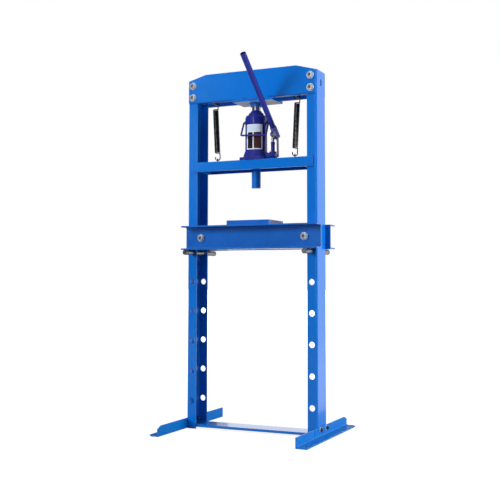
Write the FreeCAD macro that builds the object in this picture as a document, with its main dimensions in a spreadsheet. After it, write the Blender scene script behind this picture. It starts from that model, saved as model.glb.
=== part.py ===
"""A bench-high hydraulic press: a bolted frame, a bottle jack on a sprung press head, and a pinned bed.

Millimetres. X runs across the press, Y to the back and Z up. The origin is on the floor, midway
between the uprights. The jack is closed, and the handle stands in its socket in front of the frame.
"""

import FreeCAD, Part
import math
import os
import re

import Sketcher
from FreeCAD import Vector

os.makedirs("parts", exist_ok=True)
doc = FreeCAD.newDocument("HydraulicPress")

# ---------------------------------------------------------------- driving sizes

SIZES = {
    # uprights: two channels of folded sheet, open sides facing each other
    "UprightHeight": 1250, "FrameWidth": 500, "UprightDepth": 85, "UprightFlange": 36,
    "UprightWall": 4, "UprightBend": 6, "HoleDiameter": 21, "HoleInset": 20, "HoleDrop": 624.3,
    "HoleStart": 97.7, "HoleCount": 6, "SlotWidth": 9.5, "SlotHeight": 24, "SlotDrop": 40,
    # crossbeam: two plates with a bottom lip, bolted over the uprights' flanges
    "BeamHeight": 103, "BeamDrop": 85, "BeamWall": 5, "BeamBend": 7, "BeamLip": 20, "BeamInset": 3,
    "BevelLength": 71, "BevelDrop": 19, "BeamBoltLow": 22, "BeamBoltHigh": 64.5,
    "BeamBoltInset": 21, "BoltDiameter": 12, "BoltFit": 0.5, "BoltHead": 8, "BoltFlats": 19,
    "WasherWidth": 26, "WasherThickness": 2.5, "BoltTail": 3,
    # seat for the jack's ram, under the crossbeam
    "SeatLength": 154, "SeatThickness": 8, "SeatShift": 8, "SeatSetback": 0.5, "CollarTop": 46,
    "CollarLow": 42, "CollarHeight": 13, "CollarBore": 35,
    # feet and the brace between them
    "FootLength": 475, "FootReach": 40, "FootRise": 35, "FootWall": 4, "FootNotchLength": 22,
    "FootNotchDrop": 10, "FootTip": 12, "AnchorDiameter": 12, "AnchorInset": 25,
    "AnchorReach": 24, "BraceTop": 15, "BraceWall": 3, "BraceLip": 9, "BraceGap": 0.5,
    "BraceTab": 20, "FootBoltDiameter": 8, "FootBoltHeight": 25.5, "FootBoltSpacing": 55,
    "FootBoltFlats": 13, "FootBoltHead": 5.5, "FootWasherWidth": 17, "FootWasherThickness": 1.6,
    # press head: a channel, open below, whose ears slide over the uprights' flanges
    "HeadHeight": 35, "HeadWall": 5, "HeadBend": 5, "HeadLap": 20, "HeadGap": 0.8, "HeadSide": 2,
    "HeadClear": 2,
    "EndPlateWall": 5, "RamPinDiameter": 32, "RamPinLength": 94, "RamPinEdge": 2,
    "RamStubDiameter": 28, "RamBossDiameter": 44, "RamBossLength": 12,
    # bottle jack
    "JackShift": 2.5, "JackTurn": -5, "JackClosed": 207, "BaseLength": 96, "BaseDepth": 92,
    "BaseThickness": 10, "BaseCorner": 14, "BossLow": 50, "BossTop": 41, "BossHeight": 31,
    "TankRadius": 39, "TankWall": 3, "TankTop": 163, "TankShoulder": 13,
    "CylinderRadius": 25, "CylinderWall": 6, "RamRadius": 15.5, "RamFit": 0.05, "PistonHeight": 15,
    "PistonStart": 33, "SealHeight": 5, "SealDepth": 3, "SaddleRadius": 16.5, "SaddleHeight": 9,
    "ScrewRadius": 10, "ScrewLength": 60, "CapSkirt": 6, "CapRadius": 29, "CapRim": 3,
    "CapWaist": 21, "CapWaistHeight": 11, "CapTop": 17, "CapHeight": 16, "CapFlats": 54,
    # pump, its lever and the handle
    "PumpReach": 68, "BridgeWidth": 22, "BridgeDrop": 4, "PumpBossRadius": 13, "PumpBossHeight": 28,
    "BarrelRadius": 7, "BarrelTop": 62, "BarrelFlats": 15, "BarrelHexHeight": 7,
    "BarrelSpigot": 12, "SpigotStep": 1, "PlungerRadius": 5, "PlungerFoot": 34,
    "PlungerSump": 18, "PlungerPinHeight": 90, "PlungerEye": 8,
    "EyeEdge": 6, "EyeDrop": 10, "LinkPinDiameter": 6,
    "PinFit": 0.05, "LinkArm": 20, "LinkArmAngle": 36, "EarReach": 19, "EarHeight": 16,
    "LinkWidth": 11, "LinkWall": 3, "PinOverhang": 1.5, "LinkSlack": 1.2, "CheekWall": 3.5, "CheekGap": 0.5,
    "HandleOffset": 18.5, "HandleTilt": 43.5, "SocketBore": 20, "CheekRadius": 6.5, "SocketWall": 2,
    "SocketBack": 25, "SocketFront": 18, "HandleRadius": 9.7, "HandleWall": 1.8, "HandleFoot": 20,
    "SpigotFit": 0.1, "HandleLow": 198, "HandleHigh": 123, "HandleJoin": 40, "HandleSwell": 0.6,
    # release valve and bail
    "ValveRadius": 4, "ValveKnob": 6, "ValveSide": 12, "ValveHeight": 14, "ValveLength": 16, "ValveWall": 3,
    "BailTurn": 13, "BailWire": 6.5, "BailPivotHeight": 138, "BailDrop": 53, "BailReach": 47,
    "BailBossReach": 2, "BailEnd": 1.7, "BailBend": 4,
    # return springs
    "SpringWire": 3.8, "SpringRadius": 8.6, "SpringTurns": 36, "SpringNeck": 10, "HookSweep": 210, "HookTurn": 24,
    "SpringTopInset": 52, "SpringLowInset": 62, "HangerDiameter": 8, "EyeWire": 4,
    "EyeRadius": 6, "EyeStem": 2, "HookGap": 0.3,
    # bed: two rolled channels, tied by bolts, on two pins
    "BedHeight": 85, "BedFlange": 45, "BedWall": 5, "BedRoot": 6, "BedOverhang": 9.5,
    "BedShift": 6.5, "BedGap": 0.5, "BedHole": 6, "BedSeat": 0.3, "TieInset": 15,
    "SpacerDiameter": 16, "PlateLength": 163, "PlateDepth": 128, "PlateThickness": 17,
    "PlateEdge": 1.5, "PlateShift": -2, "PinDiameter": 18, "PinLength": 226, "PinGap": 0.1,
    "PinEdge": 1.5, "PinGroove": 1.2, "PinGrooveInset": 9, "PinLeftShift": 11.5,
    "PinRightShift": 1,
}

sheet = doc.addObject("Spreadsheet::Sheet", "Sizes")
for row, (name, value) in enumerate(SIZES.items(), 1):
    sheet.set(f"A{row}", name)
    sheet.set(f"B{row}", str(value))
    sheet.setAlias(f"B{row}", name)
doc.recompute()

# places that several pieces share, as rules over the sheet's sizes
BEAM_LOW = "(UprightHeight - BeamDrop)"
SEAT_LOW = f"({BEAM_LOW} - SeatThickness)"
HEAD_TOP = f"({SEAT_LOW} - JackClosed)"
FLANGE_EDGE = "(FrameWidth / 2 - UprightFlange)"
HOLE_X = "(FrameWidth / 2 - HoleInset)"
HOLE_PITCH = "((UprightHeight - HoleDrop - HoleStart) / (HoleCount - 1))"
PIN_Z = (f"(HoleStart + (BedHole - 1) * {HOLE_PITCH}"
         " - (HoleDiameter - PinDiameter) / 2 + PinGap)")
BED_LOW = f"({PIN_Z} + PinDiameter / 2 + BedSeat)"
BED_TOP = f"({BED_LOW} + BedHeight)"
FOOT_BOLTS = [(f"{side} * FootBoltSpacing / 2", "FootBoltHeight") for side in (-1, 1)]
FOOT_BOLT_HOLE = "FootBoltDiameter / 2 + BoltFit"
NODES = []


def cell(rule):
    """The rule as an expression, with the sheet's name before each alias."""
    return re.sub(r"[A-Za-z]\w*", lambda word: f"Sizes.{word[0]}" if word[0] in SIZES else word[0], rule)


def bind(feature, **rules):
    for path, rule in rules.items():
        feature.setExpression(path, cell(str(rule)))
    return feature


AXIS_TURN = {"X": "0; 90; 0", "Y": "0; 0; -90", "Z": "0; 0; 0"}


def spot(x=0, y=0, z=0, axis="Z", turn=None):
    """A placement rule: a point, and where the piece's own Z axis points, or its yaw, pitch and roll."""
    return (f"create(<<placement>>; create(<<vector>>; {x}; {y}; {z});"
            f" create(<<rotation>>; {turn or AXIS_TURN[axis]}))")


JACK = spot("JackShift", 0, HEAD_TOP, turn="JackTurn; 0; 0")
LEVER = f"{JACK} * {spot('PumpReach', 0, 'PlungerPinHeight', turn='0; 0; HandleTilt')}"


def keep(feature, label):
    """Mark a feature as a finished sub-part, whose label names its file."""
    feature.Label = label
    NODES.append(feature)
    return feature


def box(name, length, width, height, place=None):
    """A box about its own Z axis, standing on its own origin."""
    feature = bind(doc.addObject("Part::Box", name), Length=length, Width=width, Height=height)
    shift = spot(f"-({length}) / 2", f"-({width}) / 2", 0)
    return bind(feature, Placement=f"{place or spot()} * {shift}")


def rod(name, radius, height, place=None):
    feature = bind(doc.addObject("Part::Cylinder", name), Radius=radius, Height=height)
    return bind(feature, Placement=place or spot())


def cone(name, low, top, height, place=None):
    feature = doc.addObject("Part::Cone", name)
    return bind(feature, Radius1=low, Radius2=top, Height=height, Placement=place or spot())


def hexagon(name, flats, height, place=None):
    feature = doc.addObject("Part::Prism", name)
    feature.Polygon = 6
    return bind(feature, Circumradius=f"({flats}) / sqrt(3)", Height=height, Placement=place or spot())


def join(name, *shapes):
    feature = doc.addObject("Part::MultiFuse", name)
    feature.Shapes = list(shapes)
    feature.Refine = True
    return feature


def cut(name, base, *tools):
    feature = doc.addObject("Part::Cut", name)
    feature.Base = base
    feature.Tool = tools[0] if len(tools) == 1 else join(f"{name}_tools", *tools)
    return feature


def group(label, shapes):
    """Like fasteners kept as separate solids of one sub-part."""
    feature = doc.addObject("Part::Compound", label)
    feature.Links = shapes
    return keep(feature, label)


def new_body(label, place=None):
    return bind(keep(doc.addObject("PartDesign::Body", label), label), Placement=place or spot())


def sketch_on(body, role):
    sketch = body.newObject("Sketcher::SketchObject", f"{body.Name}_sketch")
    face = next(item for item in body.Origin.OriginFeatures if item.Role == role)
    sketch.AttachmentSupport = (face, [""])
    sketch.MapMode = "FlatFace"
    return sketch


def at(sketch, element, point, x, y):
    """Hold one point of a sketch at the given rules."""
    for kind, rule in (("DistanceX", x), ("DistanceY", y)):
        index = sketch.addConstraint(Sketcher.Constraint(kind, -1, 1, element, point, 1.0))
        sketch.setExpression(f"Constraints[{index}]", cell(str(rule)))


def outline(body, role, points):
    """A closed outline with straight sides through the points."""
    sketch = sketch_on(body, role)
    count = len(points)
    start = [Vector(10 * math.cos(math.tau * i / count), 10 * math.sin(math.tau * i / count), 0)
             for i in range(count)]
    for i in range(count):
        sketch.addGeometry(Part.LineSegment(start[i], start[(i + 1) % count]), False)
    for i, (x, y) in enumerate(points):
        sketch.addConstraint(Sketcher.Constraint("Coincident", i, 2, (i + 1) % count, 1))
        at(sketch, i, 1, x, y)
    return sketch


def circles(body, role, centres, radius):
    sketch = sketch_on(body, role)
    for i, (x, y) in enumerate(centres):
        sketch.addGeometry(Part.Circle(Vector(i, 0, 0), Vector(0, 0, 1), 1), False)
        at(sketch, i, 3, x, y)
        index = sketch.addConstraint(Sketcher.Constraint("Radius", i, 5.0))
        sketch.setExpression(f"Constraints[{index}]", cell(radius))
    return sketch


def pad(body, sketch, length):
    """A pad that runs the same way on both sides of its sketch."""
    feature = body.newObject("PartDesign::Pad", f"{body.Name}_pad")
    feature.Profile = sketch
    feature.Midplane = True
    return bind(feature, Length=length)


def pocket(body, sketch):
    """A pocket through the whole body, checked by volume when the model is done."""
    feature = body.newObject("PartDesign::Pocket", f"{body.Name}_pocket")
    feature.Profile = sketch
    feature.Midplane = True
    return bind(feature, Length="4 * UprightHeight")


def revolve(label, points, place):
    body = new_body(label, place)
    feature = body.newObject("PartDesign::Revolution", f"{label}_turned")
    feature.Profile = outline(body, "XZ_Plane", points)
    feature.ReferenceAxis = (feature.Profile[0], ["V_Axis"])
    feature.Angle = 360
    return body


def bend(body, radius, along, test):
    """Round the straight edges that run along one axis and pass the test at their middle."""
    doc.recompute()
    names = []
    for index, edge in enumerate(body.Tip.Shape.Edges, 1):
        middle = edge.valueAt((edge.FirstParameter + edge.LastParameter) / 2)
        if edge.Curve.TypeId == "Part::GeomLine" and abs(edge.Curve.Direction.dot(along)) > 0.999:
            if test(middle):
                names.append(f"Edge{index}")
    base = body.Tip
    feature = body.newObject("PartDesign::Fillet", f"{body.Name}_bend")
    feature.Base = (base, names)
    return bind(feature, Radius=radius)


def size(name):
    return float(sheet.get(name))


def bolt(name, diameter, flats, head, shank, place):
    """A hexagon bolt whose head seats at the place's origin and points along its Z."""
    stem = rod(f"{name}_shank", f"({diameter}) / 2", shank, f"{place} * {spot(0, 0, f'-({shank})')}")
    return join(name, hexagon(f"{name}_head", flats, head, place), stem)


def nut(name, diameter, flats, height, place):
    """A nut that seats at the place's origin and points along its Z."""
    bore = rod(f"{name}_bore", f"({diameter}) / 2 + PinFit", height, place)
    return cut(name, hexagon(f"{name}_hexagon", flats, height, place), bore)


def ring(name, outer, bore, height, place):
    hole = rod(f"{name}_bore", bore, height, place)
    return cut(name, rod(f"{name}_rim", outer, height, place), hole)


# ---------------------------------------------------------------- uprights

WEB_IN = "(FrameWidth / 2 - UprightWall)"
FLANGE_IN = "(UprightDepth / 2 - UprightWall)"
BEAM_BOLT_X = "(FrameWidth / 2 - BeamBoltInset)"
BEAM_BOLT_ROWS = (f"({BEAM_LOW} + BeamBoltLow)", f"({BEAM_LOW} + BeamBoltHigh)")


def upright(label, turn):
    """A channel folded from sheet, with pin holes, bolt holes and a slot near its top."""
    body = new_body(label, spot(turn=f"{turn}; 0; 0"))
    half = "UprightDepth / 2"
    section = outline(body, "XY_Plane", [
        ("-FrameWidth / 2", f"-{half}"), (f"-{FLANGE_EDGE}", f"-{half}"),
        (f"-{FLANGE_EDGE}", f"-{FLANGE_IN}"), (f"-{WEB_IN}", f"-{FLANGE_IN}"),
        (f"-{WEB_IN}", FLANGE_IN), (f"-{FLANGE_EDGE}", FLANGE_IN),
        (f"-{FLANGE_EDGE}", half), ("-FrameWidth / 2", half)])
    channel = pad(body, section, "UprightHeight")
    channel.Midplane = False
    upright_x = -size("FrameWidth") / 2
    inner_x = upright_x + size("UprightWall")
    bend(body, "UprightBend", Vector(0, 0, 1), lambda p: abs(p.x - upright_x) < 0.01)
    bend(body, "UprightBend - UprightWall", Vector(0, 0, 1), lambda p: abs(p.x - inner_x) < 0.01)
    row = pocket(body, circles(body, "XZ_Plane", [(f"-{HOLE_X}", "HoleStart")], "HoleDiameter / 2"))
    column = body.newObject("PartDesign::LinearPattern", f"{label}_column")
    column.Originals = [row]
    column.Direction = (row.Profile[0], ["V_Axis"])
    bind(column, Length=f"{HOLE_PITCH} * (HoleCount - 1)", Occurrences="HoleCount")
    body.Tip = column
    pocket(body, circles(body, "XZ_Plane", [(f"-{BEAM_BOLT_X}", z) for z in BEAM_BOLT_ROWS],
                         "BoltDiameter / 2 + BoltFit"))
    pocket(body, circles(body, "YZ_Plane", FOOT_BOLTS, FOOT_BOLT_HOLE))
    cut_slot(body, "UprightHeight - SlotDrop")
    return body


def cut_slot(body, height):
    """An upright slot with round ends in the web: its two ends, then the straight part between."""
    half, reach = "SlotWidth / 2", "(SlotHeight - SlotWidth) / 2"
    low, high = f"{height} - {reach}", f"{height} + {reach}"
    pocket(body, circles(body, "YZ_Plane", [(0, low), (0, high)], half))
    corners = [(f"-{half}", low), (half, low), (half, high), (f"-{half}", high)]
    pocket(body, outline(body, "YZ_Plane", corners))


upright("left_upright", 0)
upright("right_upright", 180)

# ---------------------------------------------------------------- crossbeam and jack seat

BEAM_OUT = "(UprightDepth / 2 + BeamWall)"


def crossbeam(label, turn):
    """A plate with a lip folded in along its lower edge and bevelled upper corners."""
    body = new_body(label, spot(turn=f"{turn}; 0; 0"))
    top = f"{BEAM_LOW} + BeamHeight"
    inner = "-UprightDepth / 2"
    pad(body, outline(body, "YZ_Plane", [
        (f"-{BEAM_OUT}", BEAM_LOW), (f"-{BEAM_OUT}", top), (inner, top),
        (inner, f"{BEAM_LOW} + BeamWall"), (f"-{BEAM_OUT} + BeamLip", f"{BEAM_LOW} + BeamWall"),
        (f"-{BEAM_OUT} + BeamLip", BEAM_LOW)]), "FrameWidth - 2 * BeamInset")
    fold = Vector(0, -size("UprightDepth") / 2 - size("BeamWall"),
                  size("UprightHeight") - size("BeamDrop"))
    root = fold + Vector(0, size("BeamWall"), size("BeamWall"))
    for corner, radius in ((fold, "BeamBend"), (root, "BeamBend - BeamWall")):
        bend(body, radius, Vector(1, 0, 0), lambda p: p.distanceToPoint(corner) < 0.01)
    end = "(FrameWidth / 2 - BeamInset)"
    for side in ("-1", "1"):
        clear = f"{side} * ({FLANGE_EDGE} - HeadClear)"
        far = f"{side} * FrameWidth"
        pocket(body, outline(body, "XY_Plane", [(clear, inner), (far, inner), (far, 0), (clear, 0)]))
        pocket(body, outline(body, "XZ_Plane", [
            (f"{side} * ({end} - BevelLength)", top), (f"{side} * {end}", top),
            (f"{side} * {end}", f"{top} - BevelDrop")]))
    holes = [(f"{side} * {BEAM_BOLT_X}", z) for side in (-1, 1) for z in BEAM_BOLT_ROWS]
    pocket(body, circles(body, "XZ_Plane", holes, "BoltDiameter / 2 + BoltFit"))
    return body


crossbeam("front_crossbeam", 0)
crossbeam("rear_crossbeam", 180)
keep(box("seat", "SeatLength", f"2 * ({BEAM_OUT} - SeatSetback)", "SeatThickness",
         spot("SeatShift", 0, SEAT_LOW)), "jack_seat_plate")
COLLAR = spot("JackShift", 0, f"{SEAT_LOW} - CollarHeight")
keep(cut("collar", cone("collar_cone", "CollarLow / 2", "CollarTop / 2", "CollarHeight", COLLAR),
         rod("collar_bore", "CollarBore / 2", "CollarHeight", COLLAR)), "jack_seat_collar")

bolts, nuts, washers = [], [], []
for side in (-1, 1):
    for face, roll in (("front", 90), ("rear", -90)):
        for row, z in zip(("low", "high"), BEAM_BOLT_ROWS):
            reach = BEAM_OUT if face == "rear" else f"-{BEAM_OUT}"
            seat = spot(f"{side} * {BEAM_BOLT_X}", reach, z, turn=f"0; 0; {roll}")
            name = f"beam_{face}_{row}_{'left' if side < 0 else 'right'}"
            grip = "(BeamWall + UprightWall)"
            bolts.append(bolt(f"{name}_bolt", "BoltDiameter", "BoltFlats", "BoltHead",
                              f"{grip} + WasherThickness + BoltHead + BoltTail",
                              f"{seat} * {spot(0, 0, 'WasherThickness')}"))
            nuts.append(nut(f"{name}_nut", "BoltDiameter", "BoltFlats", "BoltHead",
                            f"{seat} * {spot(0, 0, f'-{grip} - BoltHead')}"))
            washers.append(ring(f"{name}_washer", "WasherWidth / 2", "BoltDiameter / 2 + BoltFit",
                                "WasherThickness", seat))
group("crossbeam_bolts", bolts)
group("crossbeam_nuts", nuts)
group("crossbeam_washers", washers)

# ---------------------------------------------------------------- feet and brace

TAB_IN = f"({WEB_IN} - BraceWall)"


def foot(label, turn):
    """A length of angle with two anchor holes, its front corners trimmed."""
    body = new_body(label, spot(turn=f"{turn}; 0; 0"))
    web, toe = "-FrameWidth / 2", "(-FrameWidth / 2 - FootReach)"
    leg = f"({web} - FootWall)"
    front = "-FootLength / 2"
    pad(body, outline(body, "XZ_Plane", [
        (web, 0), (web, "FootRise"), (leg, "FootRise"), (leg, "FootWall"), (toe, "FootWall"),
        (toe, 0)]), "FootLength")
    root_x = -size("FrameWidth") / 2 - size("FootWall")
    bend(body, "FootWall", Vector(0, 1, 0),
         lambda p: abs(p.x - root_x) < 0.01 and abs(p.z - size("FootWall")) < 0.01)
    pocket(body, outline(body, "YZ_Plane", [
        (front, "FootRise - FootNotchDrop"), (f"{front} + FootNotchLength", "FootRise"),
        (front, "FootRise")]))
    pocket(body, outline(body, "XY_Plane", [
        (toe, front), (f"{toe} + FootTip", front), (toe, f"{front} + FootTip")]))
    anchors = [(f"{web} - AnchorReach", f"{side} * (FootLength / 2 - AnchorInset)") for side in (-1, 1)]
    pocket(body, circles(body, "XY_Plane", anchors, "AnchorDiameter / 2"))
    pocket(body, circles(body, "YZ_Plane", FOOT_BOLTS, FOOT_BOLT_HOLE))
    return body


def brace():
    """A shallow channel, open below, with a tab turned up at each end against the upright's web."""
    body = new_body("base_brace")
    edge = f"({FLANGE_IN} - BraceGap)"
    lip = f"({edge} - BraceWall)"
    low, under, tip = "BraceTop - BraceLip", "BraceTop - BraceWall", "BraceTop + BraceTab"
    pad(body, outline(body, "YZ_Plane", [
        (f"-{edge}", low), (f"-{edge}", "BraceTop"), (edge, "BraceTop"), (edge, low), (lip, low),
        (lip, under), (f"-{lip}", under), (f"-{lip}", low)]), f"2 * ({TAB_IN} - BraceWall)")
    pad(body, outline(body, "XZ_Plane", [
        (f"-{WEB_IN}", under), (f"-{WEB_IN}", tip), (f"-{TAB_IN}", tip), (f"-{TAB_IN}", "BraceTop"),
        (TAB_IN, "BraceTop"), (TAB_IN, tip), (WEB_IN, tip), (WEB_IN, under)]),
        f"2 * ({edge} + UprightWall - UprightBend)")
    web, top = size("FrameWidth") / 2 - size("UprightWall"), size("BraceTop")
    bend(body, "2 * BraceWall", Vector(0, 1, 0),
         lambda p: abs(abs(p.x) - web) < 0.01 and abs(p.z - top + size("BraceWall")) < 0.01)
    bend(body, "BraceWall", Vector(0, 1, 0),
         lambda p: abs(abs(p.x) - web + size("BraceWall")) < 0.01 and abs(p.z - top) < 0.01)
    pocket(body, circles(body, "YZ_Plane", FOOT_BOLTS, FOOT_BOLT_HOLE))
    return body


foot("left_foot", 0)
foot("right_foot", 180)
brace()

bolts, nuts, washers = [], [], []
for side in (-1, 1):
    for y, z in FOOT_BOLTS:
        name = f"foot_{'left' if side < 0 else 'right'}_{'front' if y[0] == '-' else 'rear'}"
        grip = "(BraceWall + UprightWall + FootWall)"
        seat = spot(f"{side} * {TAB_IN}", y, z, turn=f"0; {-90 * side}; 0")
        bolts.append(bolt(f"{name}_bolt", "FootBoltDiameter", "FootBoltFlats", "FootBoltHead",
                          f"{grip} + FootWasherThickness + FootBoltHead + BoltTail", seat))
        under = f"{seat} * {spot(0, 0, f'-{grip} - FootWasherThickness')}"
        washers.append(ring(f"{name}_washer", "FootWasherWidth / 2", FOOT_BOLT_HOLE,
                            "FootWasherThickness", under))
        nuts.append(nut(f"{name}_nut", "FootBoltDiameter", "FootBoltFlats", "FootBoltHead",
                        f"{under} * {spot(0, 0, '-FootBoltHead')}"))
group("foot_bolts", bolts)
group("foot_nuts", nuts)
group("foot_washers", washers)

# ---------------------------------------------------------------- press head

HEAD_IN = "(UprightDepth / 2 + HeadGap)"
HEAD_END = f"({FLANGE_EDGE} - HeadClear - HeadSide)"
HEAD = spot("HeadSide", 0, HEAD_TOP)


def head_beam():
    """A channel, open below: its walls run on past its top as ears outside the flanges."""
    body = new_body("head_beam", HEAD)
    outer = f"({HEAD_IN} + HeadWall)"
    pad(body, outline(body, "YZ_Plane", [
        (f"-{outer}", "-HeadHeight"), (f"-{outer}", 0), (outer, 0), (outer, "-HeadHeight"),
        (HEAD_IN, "-HeadHeight"), (HEAD_IN, "-HeadWall"), (f"-{HEAD_IN}", "-HeadWall"),
        (f"-{HEAD_IN}", "-HeadHeight")]), f"2 * ({FLANGE_EDGE} + HeadLap)")
    bend(body, "HeadBend", Vector(1, 0, 0), lambda p: abs(p.z) < 0.01)
    for side in ("-1", "1"):
        clear, far = f"{side} * {HEAD_END}", f"{side} * FrameWidth"
        pocket(body, outline(body, "XY_Plane", [
            (clear, f"-{HEAD_IN}"), (far, f"-{HEAD_IN}"), (far, HEAD_IN), (clear, HEAD_IN)]))
    return body


head_beam()
for side, label in (("-1", "left_head_end_plate"), ("1", "right_head_end_plate")):
    middle = f"{side} * ({HEAD_END} - EndPlateWall / 2)"
    keep(box(label, "EndPlateWall", f"2 * {HEAD_IN}", "HeadHeight - HeadWall",
             f"{HEAD} * {spot(middle, 0, '-HeadHeight')}"), label)
PIN_LINE = spot("JackShift", 0, f"{HEAD_TOP} - HeadWall")
revolve("ram_pin", [
    (0, "-RamPinLength"), ("RamPinDiameter / 2 - RamPinEdge", "-RamPinLength"),
    ("RamPinDiameter / 2", "RamPinEdge - RamPinLength"), ("RamPinDiameter / 2", "-RamBossLength"),
    ("RamStubDiameter / 2", "-RamBossLength"), ("RamStubDiameter / 2", 0), (0, 0)], PIN_LINE)
keep(ring("sleeve", "RamBossDiameter / 2", "RamStubDiameter / 2 + PinFit", "RamBossLength",
          f"{PIN_LINE} * {spot(0, 0, '-RamBossLength')}"), "ram_pin_sleeve")

# ---------------------------------------------------------------- bottle jack


def jack_base():
    """The cast foot of the jack: a plate, a round boss for the tank, and a bridge to the pump."""
    plate = doc.addObject("Part::Fillet", "base_plate")
    plate.Base = box("base_block", "BaseLength", "BaseDepth", "BaseThickness", JACK)
    doc.recompute()
    corners = [i for i, edge in enumerate(plate.Base.Shape.Edges, 1)
               if abs(edge.tangentAt(0).z) > 0.999]
    plate.Edges = [(i, size("BaseCorner"), size("BaseCorner")) for i in corners]
    pump = f"{JACK} * {spot('PumpReach')}"
    lug = "(PlungerEye / 2 + CheekGap + CheekWall)"
    ear = f"{JACK} * {spot('PumpReach', 'EarReach', 'EarHeight')}"
    solid = join(
        "base_solid", plate,
        cone("base_boss", "BossLow", "BossTop", "BossHeight", JACK),
        box("base_bridge", "PumpReach", "BridgeWidth", "PumpBossHeight - BridgeDrop",
            f"{JACK} * {spot('PumpReach / 2')}"),
        rod("pump_boss", "PumpBossRadius", "PumpBossHeight", pump),
        box("ear_block", f"2 * {lug}", "EarReach", "EarHeight",
            f"{JACK} * {spot('PumpReach', 'EarReach / 2')}"),
        rod("ear_round", "LinkWidth / 2", f"2 * {lug}", f"{ear} * {spot(f'-{lug}', 0, 0, 'X')}"),
        rod("valve_boss", "ValveRadius + ValveWall", "ValveLength + ValveWall",
            f"{VALVE} * {spot(0, 0, '-ValveLength - ValveWall')}"))
    return keep(cut(
        "jack_base_cut", solid,
        rod("spigot_seat", "BarrelRadius - SpigotStep", "BarrelSpigot + SpigotStep",
            f"{pump} * {spot(0, 0, 'PumpBossHeight - BarrelSpigot')}"),
        rod("sump", "PlungerRadius + PinFit", "PumpBossHeight",
            f"{pump} * {spot(0, 0, 'PlungerSump')}"),
        rod("ear_bore", "LinkPinDiameter / 2 + PinFit", f"2 * {lug}",
            f"{ear} * {spot(f'-{lug}', 0, 0, 'X')}"),
        rod("valve_bore", "ValveRadius + PinFit", "ValveLength",
            f"{VALVE} * {spot(0, 0, '-ValveLength')}")), "jack_base")


VALVE = f"{JACK} * {spot('PumpReach + PumpBossRadius', '-ValveSide', 'ValveHeight', 'X')}"
jack_base()
BORE = "(CylinderRadius - CylinderWall)"

tank = revolve("jack_tank", [
    ("TankRadius - TankWall", "BossHeight"), ("TankRadius", "BossHeight"), ("TankRadius", "TankTop"),
    ("CylinderRadius + PinFit", "TankTop"), ("CylinderRadius + PinFit", "TankTop - TankWall"),
    ("TankRadius - TankWall", "TankTop - TankWall")], JACK)
doc.recompute()
rims = [f"Edge{i}" for i, edge in enumerate(tank.Tip.Shape.Edges, 1)
        if abs(edge.BoundBox.ZMin - size("TankTop")) < 0.01 and edge.BoundBox.XMax > size("TankRadius") - 0.1]
shoulder = tank.newObject("PartDesign::Fillet", "tank_shoulder")
shoulder.Base = (shoulder.BaseFeature, rims)
bind(shoulder, Radius="TankShoulder")

revolve("jack_cylinder", [
    (BORE, "BossHeight"), ("CylinderRadius", "BossHeight"), ("CylinderRadius", "TankTop"),
    (BORE, "TankTop")], JACK)
cap_bore = "RamRadius + RamFit"
cap = revolve("cap_turned", [
    (cap_bore, "TankTop - CapSkirt"), (f"{BORE} - RamFit", "TankTop - CapSkirt"),
    (f"{BORE} - RamFit", "TankTop"), ("CapRadius", "TankTop"), ("CapRadius", "TankTop + CapRim"),
    ("CapWaist", "TankTop + CapWaistHeight"), ("CapTop", "TankTop + CapHeight"),
    (cap_bore, "TankTop + CapHeight")], JACK)
NODES.remove(cap)
cap_nut = doc.addObject("Part::Common", "cap_nut")
cap_nut.Base = cap
cap_nut.Tool = hexagon("cap_hexagon", "CapFlats", "JackClosed", JACK)
keep(cap_nut, "jack_cap_nut")

piston = f"{BORE} - RamFit"
seal_low = "PistonStart + (PistonHeight - SealHeight) / 2"
seal_top = "PistonStart + (PistonHeight + SealHeight) / 2"
ram_top = "JackClosed - SaddleHeight"
revolve("jack_ram", [
    (0, "PistonStart"), (piston, "PistonStart"), (piston, seal_low), (f"{piston} - SealDepth", seal_low),
    (f"{piston} - SealDepth", seal_top), (piston, seal_top), (piston, "PistonStart + PistonHeight"),
    ("RamRadius", "PistonStart + PistonHeight"), ("RamRadius", ram_top),
    ("ScrewRadius + PinFit", ram_top), ("ScrewRadius + PinFit", f"{ram_top} - ScrewLength"),
    (0, f"{ram_top} - ScrewLength")], JACK)
revolve("piston_seal", [
    (f"{piston} - SealDepth", seal_low), (piston, seal_low), (piston, seal_top),
    (f"{piston} - SealDepth", seal_top)], JACK)
revolve("extension_screw", [
    (0, f"{ram_top} - ScrewLength"), ("ScrewRadius", f"{ram_top} - ScrewLength"), ("ScrewRadius", ram_top),
    ("SaddleRadius", ram_top), ("SaddleRadius", "JackClosed"), (0, "JackClosed")], JACK)

# ---------------------------------------------------------------- pump and handle

PUMP = f"{JACK} * {spot('PumpReach')}"
CHEEK_IN = "(PlungerEye / 2 + CheekGap)"
CHEEK_OUT = f"({CHEEK_IN} + CheekWall)"
LINK_IN = f"({CHEEK_OUT} + CheekGap)"
LINK_OUT = f"({LINK_IN} + LinkWall)"
ARM_BACK = "(LinkArm * cos(LinkArmAngle))"
ARM_DOWN = "(LinkArm * sin(LinkArmAngle))"
pin_hole = "LinkPinDiameter / 2 + PinFit"


def across(name, radius, half, place):
    """A rod along X, centred on the place."""
    return rod(name, radius, f"2 * {half}", f"{place} * {spot(f'-{half}', 0, 0, 'X')}")


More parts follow.
